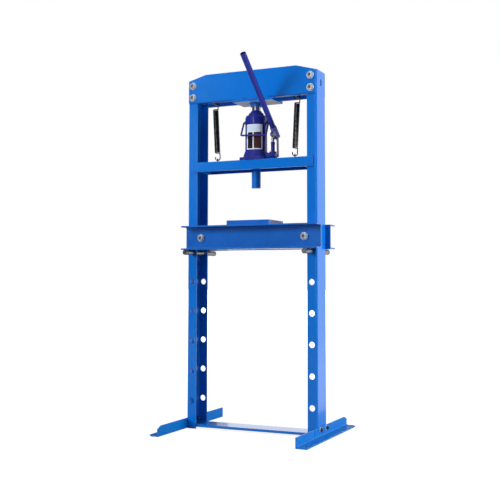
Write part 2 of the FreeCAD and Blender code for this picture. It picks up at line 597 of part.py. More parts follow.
barrel = join(
    "barrel_solid",
    rod("barrel_spigot", "BarrelRadius - SpigotStep", "BarrelSpigot",
        f"{PUMP} * {spot(0, 0, 'PumpBossHeight - BarrelSpigot')}"),
    rod("barrel_tube", "BarrelRadius", "BarrelTop - PumpBossHeight",
        f"{PUMP} * {spot(0, 0, 'PumpBossHeight')}"),
    hexagon("barrel_hexagon", "BarrelFlats", "BarrelHexHeight",
            f"{PUMP} * {spot(0, 0, 'BarrelTop - BarrelHexHeight')}"))
barrel_bore = rod("barrel_bore", "PlungerRadius + PinFit", "BarrelTop", PUMP)
keep(cut("barrel_cut", barrel, barrel_bore), "pump_barrel")

PIN = f"{PUMP} * {spot(0, 0, 'PlungerPinHeight')}"
plunger = join(
    "plunger_solid",
    rod("plunger_stem", "PlungerRadius", "PlungerPinHeight - PlungerFoot - EyeDrop",
        f"{PUMP} * {spot(0, 0, 'PlungerFoot')}"),
    box("plunger_neck", "PlungerEye", "PlungerEye", "EyeDrop", f"{PIN} * {spot(0, 0, '-EyeDrop')}"),
    across("plunger_eye", "EyeEdge", "PlungerEye / 2", PIN))
keep(cut("plunger_cut", plunger, across("plunger_pin_bore", pin_hole, "PlungerEye", PIN)), "pump_plunger")

REST_LEAN = (f"atan((EarReach - {ARM_BACK}) / (PlungerPinHeight - {ARM_DOWN} - EarHeight))")
LINK = f"{JACK} * {spot('PumpReach', 'EarReach', 'EarHeight', turn=f'0; 0; {REST_LEAN}')}"
link_length = (f"sqrt((EarReach - {ARM_BACK}) ^ 2 + (PlungerPinHeight - {ARM_DOWN} - EarHeight) ^ 2)")
straps = []
for side in ("-1", "1"):
    middle = f"{side} * ({LINK_IN} + {LINK_OUT}) / 2"
    base = f"{LINK} * {spot(middle)}"
    top = f"{LINK} * {spot(middle, 0, link_length)}"
    bar = box(f"link_bar{side}", "LinkWall", "LinkWidth", link_length, base)
    places = {"low": base, "top": top}
    ends = [across(f"link_{n}{side}", "LinkWidth / 2", "LinkWall / 2", p) for n, p in places.items()]
    holes = [across(f"link_{n}_bore{side}", pin_hole, "LinkWall", p) for n, p in places.items()]
    straps.append(cut(f"link_strap{side}", join(f"link_solid{side}", bar, *ends), *holes))
group("pump_links", straps)
pin_half = f"({LINK_OUT} + PinOverhang)"
keep(across("fulcrum", "LinkPinDiameter / 2", pin_half, LINK), "fulcrum_pin")
keep(across("link", "LinkPinDiameter / 2", pin_half, f"{LINK} * {spot(0, 0, link_length)}"), "link_pin")
keep(across("plunger", "LinkPinDiameter / 2", f"({CHEEK_OUT} + CheekGap / 2)", PIN), "plunger_pin")

ARM_TURN = "(LinkArmAngle + HandleTilt)"
ARM_PIN = f"{LEVER} * {spot(0, f'LinkArm * cos({ARM_TURN})', f'-LinkArm * sin({ARM_TURN})')}"
AXLE = f"{LEVER} * {spot(0, 'HandleOffset', '-SocketBack')}"
cheeks = []
for side in ("-1", "1"):
    middle = f"{side} * ({CHEEK_IN} + {CHEEK_OUT}) / 2"
    web = box(f"cheek_web{side}", "CheekWall", "HandleOffset", "SocketBack + CheekRadius",
              f"{LEVER} * {spot(middle, 'HandleOffset / 2', '-SocketBack')}")
    bosses = [across(f"cheek_{n}{side}", "CheekRadius", "CheekWall / 2", f"{p} * {spot(middle)}")
              for n, p in (("pin", LEVER), ("arm", ARM_PIN))]
    cheeks += [web, *bosses]
socket_tube = rod("socket_tube", "SocketBore / 2 + SocketWall", "SocketBack + SocketFront", AXLE)
socket = join("socket_solid", *cheeks, socket_tube)
keep(cut("socket_cut", socket, rod("socket_bore", "SocketBore / 2", "SocketBack + SocketFront", AXLE),
         across("socket_pin_bore", pin_hole, CHEEK_OUT, LEVER),
         across("socket_arm_bore", "LinkPinDiameter / 2 + LinkSlack", CHEEK_OUT, ARM_PIN)), "handle_socket")

TUBE = f"{LEVER} * {spot(0, 'HandleOffset', 0)}"
upper_bore = "HandleRadius + HandleSwell - HandleWall"
lower_spigot = f"({upper_bore} - SpigotFit)"
lower = join("handle_lower_solid",
             rod("handle_lower_tube", "HandleRadius", "HandleLow + HandleFoot",
                 f"{TUBE} * {spot(0, 0, '-HandleFoot')}"),
             rod("handle_spigot", lower_spigot, "HandleJoin", f"{TUBE} * {spot(0, 0, 'HandleLow')}"))
lower_bore = rod("handle_lower_bore", f"{lower_spigot} - HandleWall", "HandleLow + HandleFoot + HandleJoin",
                 f"{TUBE} * {spot(0, 0, '-HandleFoot')}")
keep(cut("handle_lower_cut", lower, lower_bore), "handle_lower")
keep(ring("handle_upper_tube", "HandleRadius + HandleSwell", upper_bore, "HandleHigh",
          f"{TUBE} * {spot(0, 0, 'HandleLow')}"), "handle_upper")

# ---------------------------------------------------------------- release valve and bail

valve_stem = rod("valve_stem", "ValveRadius", "ValveLength",
                 f"{VALVE} * {spot(0, 0, '-ValveLength + CheekGap')}")
valve_knob = rod("valve_knob", "ValveKnob", "ValveKnob", f"{VALVE} * {spot(0, 0, 'CheekGap')}")
keep(join("valve_solid", valve_stem, valve_knob), "release_valve")


def path_wire(points, radius):
    """Straight runs through the points, joined by tangent arcs."""
    edges, last = [], points[0]
    for before, corner, after in zip(points, points[1:], points[2:]):
        inward, outward = (before - corner).normalize(), (after - corner).normalize()
        half = inward.getAngle(outward) / 2
        start, end = corner + inward * (radius / math.tan(half)), corner + outward * (radius / math.tan(half))
        bisector = (inward + outward).normalize()
        middle = corner + bisector * (radius / math.sin(half) - radius)
        edges += [Part.LineSegment(last, start).toShape(), Part.Arc(start, middle, end).toShape()]
        last = end
    edges.append(Part.LineSegment(last, points[-1]).toShape())
    return Part.Wire(edges)


def wire_form(label, path, radius, place=None):
    """A wire of round section along a path, as one unbroken solid."""
    start = path.Edges[0]
    first = start.FirstParameter
    ring_line = Part.Circle(start.valueAt(first), start.tangentAt(first), radius)
    shell = Part.BRepOffsetAPI.MakePipeShell(path)
    shell.add(Part.Wire(ring_line.toShape()))
    shell.build()
    shell.makeSolid()
    feature = doc.addObject("Part::Feature", label)
    feature.Shape = shell.shape()
    bind(feature, Placement=place or spot())
    return keep(feature, label)


# The bail leans forward until its bar rests against the tank.
BAIL = spot("JackShift", 0, f"{HEAD_TOP} + BailPivotHeight", turn="BailTurn; 0; 0")
boss_end = size("TankRadius") + size("BailBossReach")
wide = boss_end + size("BailBend")
arm = Vector(0, -size("BailReach"), -size("BailDrop"))
right_half = [Vector(boss_end - size("BailEnd"), 0, 0), Vector(wide, 0, 0), Vector(wide, 0, 0) + arm]
left_half = [Vector(-p.x, p.y, p.z) for p in reversed(right_half)]
wire_form("jack_bail", path_wire(right_half + left_half, size("BailBend")), size("BailWire") / 2, BAIL)
bosses = []
for side, turn in ((-1, -90), (1, 90)):
    seat = f"{BAIL} * {spot(f'{side} * (TankRadius - TankWall / 2)', turn=f'0; {turn}; 0')}"
    lug = ring(f"bail_boss{side}", "BailWire", "BailWire / 2 + PinFit", "BailBossReach + TankWall / 2", seat)
    bosses.append(cut(f"bail_boss_seat{side}", lug, rod(f"bail_tank{side}", "TankRadius", "TankTop", JACK)))
group("bail_bosses", bosses)

# ---------------------------------------------------------------- return springs


def biarc(start, start_way, end, end_way):
    """Two arcs that leave the start and reach the end along the given directions."""
    gap, ways = end - start, start_way + end_way
    bend_share = 2 * (1 - start_way.dot(end_way))
    along = gap.dot(ways)
    reach = (math.sqrt(along ** 2 + bend_share * gap.dot(gap)) - along) / bend_share
    first, second = start + start_way * reach, end - end_way * reach
    joint = (first + second) * 0.5
    return [arc_past(start, first, joint), arc_past(joint, second, end)]


def arc_past(start, corner, end):
    """The arc from start to end whose end tangents meet at the corner."""
    chord_middle = (start + end) * 0.5
    rise, half = (corner - chord_middle).Length, (end - start).Length / 2
    sagitta = half * math.tan(math.atan2(rise, half) / 2)
    return Part.Arc(start, chord_middle + (corner - chord_middle) * (sagitta / rise), end)


def least_gap(path, wire, apart):
    """The least gap between points of the path that are further apart along it than apart."""
    step = wire / 3
    points = path.discretize(Distance=step)
    skip = int(apart / step)
    return min(p.distanceToPoint(q) for i, p in enumerate(points) for q in points[i + skip:]) - wire


def spring(label, side):
    """A close helical coil of round wire with a hook ring at each end, hung a little out of plumb."""
    wire, radius, turns = size("SpringWire"), size("SpringRadius"), int(size("SpringTurns"))
    top_ring = Vector(side * (flange_edge - size("SpringTopInset")), 0, hook_top)
    low_ring = Vector(side * (flange_edge - size("SpringLowInset")), 0, hook_low)
    line = top_ring - low_ring
    coil_low = radius + size("SpringNeck")
    pitch = (line.Length - 2 * coil_low) / turns
    coil = [(Vector(radius * math.cos(a), radius * math.sin(a), coil_low + pitch * a / math.tau),
             Vector(-math.sin(a) * radius, math.cos(a) * radius, pitch / math.tau).normalize())
            for a in (math.pi * i for i in range(2 * turns + 1))]
    sweep = math.radians(size("HookSweep"))
    low_hook = [(Vector(radius * math.cos(a), 0, -radius * math.sin(a)), Vector(math.sin(a), 0, math.cos(a)))
                for a in (sweep, sweep / 2, 0)]
    top_hook = [(Vector(p.x, p.y, line.Length - p.z), Vector(-w.x, w.y, w.z)) for p, w in reversed(low_hook)]
    nodes = low_hook + coil + top_hook
    edges = []
    for (a, way_a), (b, way_b) in zip(nodes, nodes[1:]):
        edges += [arc.toShape() for arc in biarc(a, way_a, b, way_b)]
    path = Part.Wire(edges)
    print(f"{label}: least gap of the wire to itself {least_gap(path, wire, math.pi * radius):.2f} mm")
    spin = FreeCAD.Rotation(Vector(0, 0, 1), size("HookTurn"))
    path.Placement = FreeCAD.Placement(low_ring, FreeCAD.Rotation(Vector(0, 0, 1), line) * spin)
    return wire_form(label, path, wire / 2)


hanger_z = f"({BEAM_LOW} + BeamWall / 2)"
lip_in = f"({BEAM_OUT} - BeamLip)"
flange_edge = size("FrameWidth") / 2 - size("UprightFlange")
hook_bore = size("SpringRadius") - size("SpringWire") / 2 - size("HookGap")
hook_top = (size("UprightHeight") - size("BeamDrop") + size("BeamWall") / 2
            - hook_bore + size("HangerDiameter") / 2)
head_top = size("UprightHeight") - size("BeamDrop") - size("SeatThickness") - size("JackClosed")
eye_middle = head_top + size("EyeStem") + size("EyeWire") / 2 + size("EyeRadius")
hook_low = eye_middle + size("EyeRadius") - size("EyeWire") / 2 + hook_bore - size("EyeWire") / 2
for side, label in ((-1, "left"), (1, "right")):
    hanger_end = spot(f"{side} * ({FLANGE_EDGE} - SpringTopInset)", f"-{lip_in}", hanger_z, "Y")
    keep(rod(f"{label}_hanger_rod", "HangerDiameter / 2", f"2 * {lip_in}", hanger_end),
         f"{label}_spring_hanger")
    spring(f"{label}_return_spring", side)
    stem_foot = spot(f"{side} * ({FLANGE_EDGE} - SpringLowInset)", 0, HEAD_TOP, turn="HookTurn; 0; 0")
    loop = doc.addObject("Part::Torus", f"{label}_eye_ring")
    bind(loop, Radius1="EyeRadius", Radius2="EyeWire / 2",
         Placement=f"{stem_foot} * {spot(0, 0, 'EyeStem + EyeWire / 2 + EyeRadius', 'X')}")
    stem = rod(f"{label}_eye_stem", "EyeWire", "EyeStem + EyeWire / 4", stem_foot)
    keep(join(f"{label}_eye_solid", loop, stem), f"{label}_spring_eye")

# ---------------------------------------------------------------- bed

BED_IN = "(UprightDepth / 2 + BedGap)"
BED_WEB = f"({BED_IN} + BedWall)"
TIE_X = f"({FLANGE_EDGE} - TieInset)"
TIE_Z = f"({BED_LOW} + BedHeight / 2)"


def bed_channel(label, turn):
    """A rolled channel, its back against the uprights' flanges and its open side outward."""
    body = new_body(label, f"{spot('BedShift')} * {spot(turn=f'{turn}; 0; 0')}")
    toe = f"({BED_IN} + BedFlange)"
    pad(body, outline(body, "YZ_Plane", [
        (f"-{BED_IN}", BED_LOW), (f"-{BED_IN}", BED_TOP), (f"-{toe}", BED_TOP),
        (f"-{toe}", f"{BED_TOP} - BedWall"), (f"-{BED_WEB}", f"{BED_TOP} - BedWall"),
        (f"-{BED_WEB}", f"{BED_LOW} + BedWall"), (f"-{toe}", f"{BED_LOW} + BedWall"),
        (f"-{toe}", BED_LOW)]), "FrameWidth + 2 * BedOverhang")
    web_y = -size("UprightDepth") / 2 - size("BedGap") - size("BedWall")
    bend(body, "BedRoot", Vector(1, 0, 0), lambda p: abs(p.y - web_y) < 0.01)
    pocket(body, circles(body, "XZ_Plane", [(f"{s} * {TIE_X}", TIE_Z) for s in (-1, 1)],
                         "BoltDiameter / 2 + BoltFit"))
    return body


bed_channel("front_bed_channel", 0)
bed_channel("rear_bed_channel", 180)
bolts, nuts, washers, spacers = [], [], [], []
for side, label in ((-1, "left"), (1, "right")):
    x = f"BedShift + {side} * {TIE_X}"
    front = spot(x, f"-{BED_WEB}", TIE_Z, turn="0; 0; 90")
    back = spot(x, BED_WEB, TIE_Z, turn="0; 0; -90")
    bolts.append(bolt(f"tie_{label}_bolt", "BoltDiameter", "BoltFlats", "BoltHead",
                      f"2 * {BED_WEB} + 2 * WasherThickness + BoltHead + BoltTail",
                      f"{front} * {spot(0, 0, 'WasherThickness')}"))
    nuts.append(nut(f"tie_{label}_nut", "BoltDiameter", "BoltFlats", "BoltHead",
                    f"{back} * {spot(0, 0, 'WasherThickness')}"))
    for name, seat in (("front", front), ("back", back)):
        washers.append(ring(f"tie_{label}_{name}_washer", "WasherWidth / 2", "BoltDiameter / 2 + BoltFit",
                            "WasherThickness", seat))
    spacers.append(ring(f"tie_{label}_spacer", "SpacerDiameter / 2", "BoltDiameter / 2 + BoltFit",
                        f"2 * {BED_IN}", spot(x, f"-{BED_IN}", TIE_Z, "Y")))
group("bed_bolts", bolts)
group("bed_nuts", nuts)
group("bed_washers", washers)
group("bed_spacers", spacers)

press_plate = doc.addObject("Part::Chamfer", "press_plate")
press_plate.Base = box("plate_block", "PlateLength", "PlateDepth", "PlateThickness",
                       spot("PlateShift", 0, BED_TOP))
doc.recompute()
edge_size = size("PlateEdge")
press_plate.Edges = [(i + 1, edge_size, edge_size) for i in range(len(press_plate.Base.Shape.Edges))]
keep(press_plate, "press_plate")

for side, label in ((-1, "left"), (1, "right")):
    shift = "PinLeftShift" if side < 0 else "PinRightShift"
    grip = "PinDiameter / 2"
    groove = f"({grip} - PinGroove)"
    far = "(PinLength - PinGrooveInset - 2 * PinEdge)"
    revolve(f"{label}_bed_pin", [
        (0, 0), (f"{grip} - PinEdge", 0), (grip, "PinEdge"), (grip, "PinGrooveInset"),
        (groove, "PinGrooveInset"), (groove, "PinGrooveInset + 2 * PinEdge"),
        (grip, "PinGrooveInset + 2 * PinEdge"), (grip, far), (groove, far),
        (groove, "PinLength - PinGrooveInset"), (grip, "PinLength - PinGrooveInset"),
        (grip, "PinLength - PinEdge"), (f"{grip} - PinEdge", "PinLength"), (0, "PinLength")],
        spot(f"{side} * {HOLE_X}", f"{shift} - PinLength / 2", PIN_Z, "Y"))

# ---------------------------------------------------------------- check and write

doc.recompute()
failed = [f"{item.Name}: {item.State}" for item in doc.Objects if {"Invalid", "Error"} & set(item.State)]
for node in NODES:
    if node.Shape.isNull() or not node.Shape.isValid():
        failed.append(f"{node.Label}: shape")
if failed:
    raise SystemExit("\n".join(failed))
for pocketed in (item for item in doc.Objects if item.isDerivedFrom("PartDesign::Pocket")):
    if pocketed.Shape.Volume > pocketed.BaseFeature.Shape.Volume - 0.1:
        raise SystemExit(f"{pocketed.Name}: cuts nothing")
for node in NODES:
    node.Shape.exportStep(f"parts/{node.Label}.step")
print(f"{len(NODES)} sub-parts")
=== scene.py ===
import math

import bmesh
import bpy
from mathutils import Matrix, Vector


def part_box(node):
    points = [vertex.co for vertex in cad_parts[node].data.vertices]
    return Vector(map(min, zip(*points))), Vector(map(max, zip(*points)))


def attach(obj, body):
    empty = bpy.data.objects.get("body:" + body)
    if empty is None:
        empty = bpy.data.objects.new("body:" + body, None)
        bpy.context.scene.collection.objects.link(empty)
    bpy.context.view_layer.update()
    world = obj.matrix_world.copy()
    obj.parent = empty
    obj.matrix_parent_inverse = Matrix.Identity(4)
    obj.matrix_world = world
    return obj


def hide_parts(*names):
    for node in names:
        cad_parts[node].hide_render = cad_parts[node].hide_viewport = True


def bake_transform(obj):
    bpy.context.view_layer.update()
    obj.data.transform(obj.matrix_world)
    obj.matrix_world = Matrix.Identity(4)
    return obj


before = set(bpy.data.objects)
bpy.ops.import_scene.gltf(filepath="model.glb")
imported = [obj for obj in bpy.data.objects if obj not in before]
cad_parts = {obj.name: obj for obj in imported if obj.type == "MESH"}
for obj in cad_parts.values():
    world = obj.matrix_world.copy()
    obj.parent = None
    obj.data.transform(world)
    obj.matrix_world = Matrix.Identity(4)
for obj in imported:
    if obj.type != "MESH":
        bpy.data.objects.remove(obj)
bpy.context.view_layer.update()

# ---------------------------------------------------------------- uprights
# Two channels folded from 4 mm sheet, punched for the bed pins and for the crossbeam's bolts.
# They are sprayed in one coat of gloss blue, a little thinner on the folds and cut edges, which are paler:
# wear, and a painted highlight.


def put(tree, kind, values=None, **settings):
    """A node in a tree: its plain settings, and for each named input a value or the output to join."""
    item = tree.nodes.new(kind)
    for name, value in settings.items():
        setattr(item, name, value)
    for name, value in (values or {}).items():
        if isinstance(value, bpy.types.NodeSocket):
            tree.links.new(value, item.inputs[name])
        else:
            item.inputs[name].default_value = value
    return item


def sums(tree, operation, *terms, clamp=False):
    """One step of arithmetic."""
    item = put(tree, "ShaderNodeMath", dict(enumerate(terms)), operation=operation, use_clamp=clamp)
    return item.outputs[0]


def above(tree, value, middle, slope, clamp=False):
    """How far a value is above a middle one, times a slope."""
    return sums(tree, "MULTIPLY", sums(tree, "SUBTRACT", value, middle), slope, clamp=clamp)


def tint(tree, share, low, high):
    """A colour between two others, by share."""
    item = put(tree, "ShaderNodeMix", {0: share, 6: low, 7: high}, data_type="RGBA")
    return item.outputs[2]


def noise(tree, place, scale, detail, **more):
    """Noise from 0 to 1 round a place, with more of the node's own values by name."""
    values = {"Vector": place, "Scale": scale, "Detail": detail, **more}
    return put(tree, "ShaderNodeTexNoise", values).outputs[0]


def effect(name, inputs, outputs):
    """A shader node group with its named sockets: (tree, its inputs, its output node's inputs)."""
    tree = bpy.data.node_groups.new(name, "ShaderNodeTree")
    kinds = {float: "NodeSocketFloat", tuple: "NodeSocketColor", Vector: "NodeSocketVector"}
    for label, value in inputs.items():
        item = tree.interface.new_socket(label, in_out="INPUT", socket_type=kinds[type(value)])
        item.default_value = value
    for label, kind in outputs.items():
        tree.interface.new_socket(label, in_out="OUTPUT", socket_type=kinds[kind])
    return tree, tree.nodes.new("NodeGroupInput").outputs, tree.nodes.new("NodeGroupOutput").inputs


def rounded_edges():
    """Softens the look of cut edges, and gives the share of them that takes the edge colour: thin paint, and
    a painted highlight along the edges.
    """
    tree, given, result = effect(
        "rounded_edges", {"Radius": 0.0008, "EdgeStrength": 0.3, "Grain": 900.0}, {"EdgeShare": float, "Normal": Vector})
    soft = put(tree, "ShaderNodeBevel", {"Radius": given["Radius"]}, samples=6).outputs[0]
    flat = put(tree, "ShaderNodeNewGeometry").outputs["Normal"]
    match = put(tree, "ShaderNodeVectorMath", {0: soft, 1: flat}, operation="DOT_PRODUCT").outputs["Value"]
    edge = above(tree, 1.0, match, 6.0, clamp=True)
    place = put(tree, "ShaderNodeTexCoord").outputs["Object"]
    rough = above(tree, noise(tree, place, given["Grain"], 3.0), 0.42, 5.0, clamp=True)
    # The edge share marks both thin paint and a painted highlight along the edges.
    worn = sums(tree, "MULTIPLY", edge, rough)
    tree.links.new(sums(tree, "MULTIPLY", worn, given["EdgeStrength"]), result["EdgeShare"])
    tree.links.new(soft, result["Normal"])
    return tree


def sprayed_film():
    """What spraying leaves: faint clouds in the colour, a fine skin, and specks of dust under the coat."""
    tree, given, result = effect(
        "sprayed_film", {"Color": (0.0, 0.2, 0.7, 1.0), "Roughness": 0.25, "Clouds": 0.1, "Grain": 420.0},
        {"Color": tuple, "Roughness": float, "Height": float})
    place = put(tree, "ShaderNodeTexCoord").outputs["Object"]
    clouds = noise(tree, place, 14.0, 4.0, Roughness=0.6)
    skin = noise(tree, place, given["Grain"], 2.0)
    specks = put(tree, "ShaderNodeTexVoronoi", {"Vector": place, "Scale": 95.0}).outputs["Distance"]
    speck = sums(tree, "SUBTRACT", 1.0, sums(tree, "MULTIPLY", specks, 9.0, clamp=True))
    level = sums(tree, "ADD", 1.0, above(tree, clouds, 0.5, given["Clouds"]))
    clouded = put(tree, "ShaderNodeHueSaturation", {"Value": level, "Color": given["Color"]})
    tree.links.new(clouded.outputs[0], result["Color"])
    spread = above(tree, clouds, 0.5, 0.18)
    tree.links.new(sums(tree, "ADD", given["Roughness"], spread, clamp=True), result["Roughness"])
    height = sums(tree, "ADD", sums(tree, "MULTIPLY", skin, 0.6), sums(tree, "MULTIPLY", speck, 0.8))
    tree.links.new(height, result["Height"])
    return tree


EDGES = rounded_edges()
FILM = sprayed_film()


def material(name, **plain):
    """A new material: (it, its tree, its shader's inputs), with constants set straight on the shader."""
    made = bpy.data.materials.new(name)
    made.use_nodes = True
    surface = made.node_tree.nodes["Principled BSDF"].inputs
    for label, value in plain.items():
        surface[label.replace("_", " ")].default_value = value
    return made, made.node_tree, surface


def painted(name, color, edge_color, roughness, clouds=0.12, edge_strength=0.35, skin=0.00006, radius=0.0009,
            grain=420.0, **plain):
    """A coat of paint, thin on the edges and coloured edge_color there: wear, and a painted highlight where
    that colour is paler. skin is how deep its texture is, in metres.
    """
    made, tree, surface = material(name, **plain)
    film = put(tree, "ShaderNodeGroup", {"Color": color, "Roughness": roughness, "Clouds": clouds,
                                         "Grain": grain}, node_tree=FILM).outputs
    edges = put(tree, "ShaderNodeGroup", {"Radius": radius, "EdgeStrength": edge_strength}, node_tree=EDGES).outputs
    tree.links.new(tint(tree, edges["EdgeShare"], film["Color"], edge_color), surface["Base Color"])
    tree.links.new(film["Roughness"], surface["Roughness"])
    bump = put(tree, "ShaderNodeBump", {"Height": film["Height"], "Strength": 0.35, "Distance": skin,
                                        "Normal": edges["Normal"]})
    tree.links.new(bump.outputs[0], surface["Normal"])
    return made


# The paler edge blue stands for wear and for a painted highlight along the edges.
PRESS_BLUE, EDGE_WEAR_AND_HIGHLIGHT_BLUE = (0.0008, 0.165, 0.66, 1.0), (0.30, 0.52, 0.95, 1.0)
FRAME_BLUE = painted("frame_blue", PRESS_BLUE, EDGE_WEAR_AND_HIGHLIGHT_BLUE, 0.17, edge_strength=0.8, radius=0.0012, Coat_Weight=0.2,
                     Coat_Roughness=0.06)
CORNER = math.radians(32)


def skin_rule():
    """Joins a CAD mesh at its seams and shades it smooth, apart from its real corners."""
    tree = bpy.data.node_groups.new("cad_skin", "GeometryNodeTree")
    for way in ("INPUT", "OUTPUT"):
        tree.interface.new_socket("Geometry", in_out=way, socket_type="NodeSocketGeometry")
    source, result = tree.nodes.new("NodeGroupInput"), tree.nodes.new("NodeGroupOutput")
    joined = put(tree, "GeometryNodeMergeByDistance", {"Geometry": source.outputs[0], "Distance": 2e-6})
    smooth = put(tree, "GeometryNodeSetShadeSmooth", {"Geometry": joined.outputs[0]}, domain="FACE")
    angle = put(tree, "GeometryNodeInputMeshEdgeAngle").outputs[0]
    corner = put(tree, "FunctionNodeCompare", {0: angle, 1: CORNER}, operation="GREATER_THAN").outputs[0]
    sharp = put(tree, "GeometryNodeSetShadeSmooth", {"Geometry": smooth.outputs[0], "Selection": corner,
                                                     "Shade Smooth": False}, domain="EDGE")
    tree.links.new(sharp.outputs[0], result.inputs[0])
    return tree


SKIN = skin_rule()


def dress(made, *nodes):
    """Gives CAD nodes their finish, and shades their rounds smooth and their corners sharp."""
    for name in nodes:
        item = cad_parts[name]
        item.data.materials.clear()
        item.data.materials.append(made)
        item.modifiers.new("skin", "NODES").node_group = SKIN
        level = item.modifiers.new("level", "WEIGHTED_NORMAL")
        level.mode, level.weight, level.keep_sharp = "FACE_AREA_WITH_ANGLE", 100, True


dress(FRAME_BLUE, "left_upright", "right_upright")

# ---------------------------------------------------------------- crossbeam and jack seat
# Two flanged plates bolted over the uprights, with a welded seat and collar for the jack's screw.
# They have the frame's blue; the seat's underside is painted pale, a painted reflection of the floor below.

# Pale colour on the seat's downward faces: a painted reflection of the floor below.
FLOOR_REFLECTION_PALE = (0.62, 0.70, 0.92, 1.0)


def paint_floor_reflection_under(made, reflection_color):
    """Changes a paint so that the faces that look down are painted pale: a painted reflection of the floor.
    """
    tree = made.node_tree
    color = tree.nodes["Principled BSDF"].inputs["Base Color"]
    normal = put(tree, "ShaderNodeTexCoord").outputs["Normal"]
    upward = put(tree, "ShaderNodeSeparateXYZ", {0: normal}).outputs["Z"]
    below = sums(tree, "LESS_THAN", upward, -0.7)
    tree.links.new(tint(tree, below, color.links[0].from_socket, reflection_color), color)
    return made


dress(FRAME_BLUE, "front_crossbeam", "rear_crossbeam", "jack_seat_collar")
dress(paint_floor_reflection_under(painted("seat_blue", PRESS_BLUE, EDGE_WEAR_AND_HIGHLIGHT_BLUE, 0.2, edge_strength=0.8), FLOOR_REFLECTION_PALE), "jack_seat_plate")

# ---------------------------------------------------------------- crossbeam bolts
# M12 hexagon bolts, flat washers and nuts, zinc plated, eight of each. They clamp both crossbeams to
# the flanges of the uprights. The heads are forged with a shallow dish, which stays dull.


def metal_skin():
    """A metal's own skin: stains of a duller colour, and fine grain."""
    tree, given, result = effect(
        "metal_skin", {"Color": (0.7, 0.7, 0.7, 1.0), "Stain": (0.3, 0.3, 0.3, 1.0), "Roughness": 0.3,
                       "Tarnish": 0.25, "Grain": 900.0},
        {"Color": tuple, "Roughness": float, "Height": float})
    place = put(tree, "ShaderNodeTexCoord").outputs["Object"]
    stain = noise(tree, place, 130.0, 5.0)
    share = above(tree, stain, 0.4, sums(tree, "MULTIPLY", 4.0, given["Tarnish"]), clamp=True)
    tree.links.new(tint(tree, share, given["Color"], given["Stain"]), result["Color"])
    spread = above(tree, stain, 0.5, 0.3)
    tree.links.new(sums(tree, "ADD", given["Roughness"], spread, clamp=True), result["Roughness"])
    tree.links.new(noise(tree, place, given["Grain"], 2.0), result["Height"])
    return tree


METAL = metal_skin()


def plated(name, color, roughness, stained=None, tarnish=0.25, metallic=1.0):
    """A plating or a bare metal, whose stains are darker unless they have a colour of their own."""
    made, tree, surface = material(name, Metallic=metallic)
    dull = stained or tuple(0.45 * c for c in color[:3]) + (1.0,)
    metal = put(tree, "ShaderNodeGroup", {"Color": color, "Stain": dull, "Roughness": roughness,
                                          "Tarnish": tarnish}, node_tree=METAL).outputs
    edges = put(tree, "ShaderNodeGroup", {"Radius": 0.0004}, node_tree=EDGES).outputs
    bump = put(tree, "ShaderNodeBump", {"Height": metal["Height"], "Strength": 0.25, "Distance": 0.00004,
                                        "Normal": edges["Normal"]})
    tree.links.new(metal["Color"], surface["Base Color"])
    tree.links.new(metal["Roughness"], surface["Roughness"])
    tree.links.new(bump.outputs[0], surface["Normal"])
    return made


ZINC = plated("zinc_plate", (0.74, 0.78, 0.84, 1.0), 0.25, stained=(0.30, 0.28, 0.25, 1.0), tarnish=0.5,
              metallic=0.5)
DULL_DISH = plated("dull_dish", (0.15, 0.16, 0.14, 1.0), 0.35, tarnish=0.5, metallic=0.4)
BRIGHT_ZINC = plated("bright_zinc_plate", (0.80, 0.86, 0.97, 1.0), 0.3, tarnish=0.05, metallic=0.15)


def piece(name, made, body, fill, others=()):
    """A new mesh piece, which fill makes, with its finishes and the body it rides on."""
    mesh = bpy.data.meshes.new(name)
    form = bmesh.new()
    fill(form)
    bmesh.ops.recalc_face_normals(form, faces=form.faces)
    form.to_mesh(mesh)
    form.free()
    for finish in (made, *others):
        mesh.materials.append(finish)
    mesh.shade_smooth()
    mesh.set_sharp_from_angle(angle=CORNER)
    item = bpy.data.objects.new(name, mesh)
    bpy.context.collection.objects.link(item)
    if body:
        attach(item, body)
    return item


def skin_loops(form, loops, ring=False):
    """Faces between closed loops of as many points each. The loops join up, or get a lid at each end."""
    rows = [[form.verts.new(p) for p in loop] for loop in loops]
    pairs = list(zip(rows, rows[1:])) + ([(rows[-1], rows[0])] if ring else [])
    for low, high in pairs:
        for i in range(len(low)):
            j = (i + 1) % len(low)
            form.faces.new((low[i], low[j], high[j], high[i]))
    if not ring:
        form.faces.new(rows[0])
        form.faces.new(rows[-1])


def loop_at(place, radii, height):
    """A loop of points round a place's own Z axis: one radius for each, and one height or one for each."""
    count = len(radii)
    heights = height if isinstance(height, list) else [height] * count
    return [place @ Vector((r * math.cos(math.tau * i / count), r * math.sin(math.tau * i / count), z))
            for i, (r, z) in enumerate(zip(radii, heights))]


def lathe(form, place, outline, count=32, ring=False):
    """A turned form, from its outline's radii and heights."""
    skin_loops(form, [loop_at(place, [r] * count, z) for r, z in outline], ring=ring)


HEX_POINTS = 48
CROWN = 0.475
CHAMFER = math.tan(math.radians(30))


def hexagon(flats):
    """How far a hexagon's outline is from its middle, at even turns."""
    turns = [(math.tau * i / HEX_POINTS) % (math.pi / 3) - math.pi / 6 for i in range(HEX_POINTS)]
    return [flats / 2 / math.cos(turn) for turn in turns]


